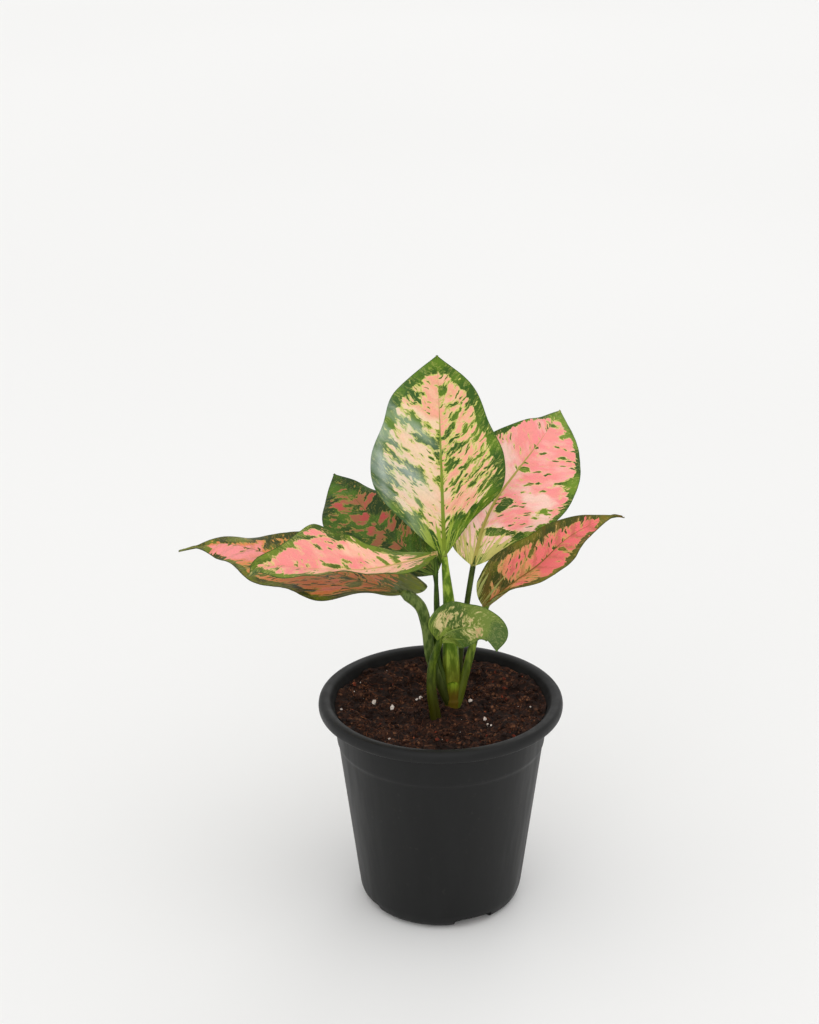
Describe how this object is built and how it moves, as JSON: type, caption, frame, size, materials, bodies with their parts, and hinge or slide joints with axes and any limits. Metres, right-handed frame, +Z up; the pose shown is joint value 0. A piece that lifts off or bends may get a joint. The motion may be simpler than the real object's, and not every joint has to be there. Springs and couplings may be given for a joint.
{
  "type": "potted foliage plant",
  "caption": "Young Chinese evergreen with broad pink, cream and green leaves on slender stalks, standing in potting mix in a round black nursery pot.",
  "frame": {"origin": "centre of the pot's flat underside, on the axis of the pot", "axes": "+Z up along the axis of the pot, -Y towards the front of the plant, where the smallest leaf curls forward, +X to its right as seen from the front"},
  "size_m": [0.2375, 0.1588, 0.2962],
  "materials": {
    "pot_plastic": "satin",
    "potting_mix": "matte",
    "cane_skin": "satin",
    "stalk_skin": "satin",
    "blade_top": "satin",
    "blade_right_rear": "satin",
    "blade_right": "satin",
    "blade_left_rear": "satin",
    "blade_left_upper": "satin",
    "blade_left_lower": "satin",
    "blade_front": "satin"
  },
  "bodies": {
    "root": {"pot": "pot_plastic", "potting_mix": "potting_mix", "cane": "cane_skin", "stalk_top": "stalk_skin", "stalk_right_rear": "stalk_skin", "stalk_right": "stalk_skin", "stalk_left_rear": "stalk_skin", "stalk_left_upper": "stalk_skin", "stalk_left_lower": "stalk_skin", "stalk_front": "stalk_skin", "leaf_top": "blade_top", "leaf_right_rear": "blade_right_rear", "leaf_right": "blade_right", "leaf_left_rear": "blade_left_rear", "leaf_left_upper": "blade_left_upper", "leaf_left_lower": "blade_left_lower", "leaf_front": "blade_front"}
  },
  "joints": []
}
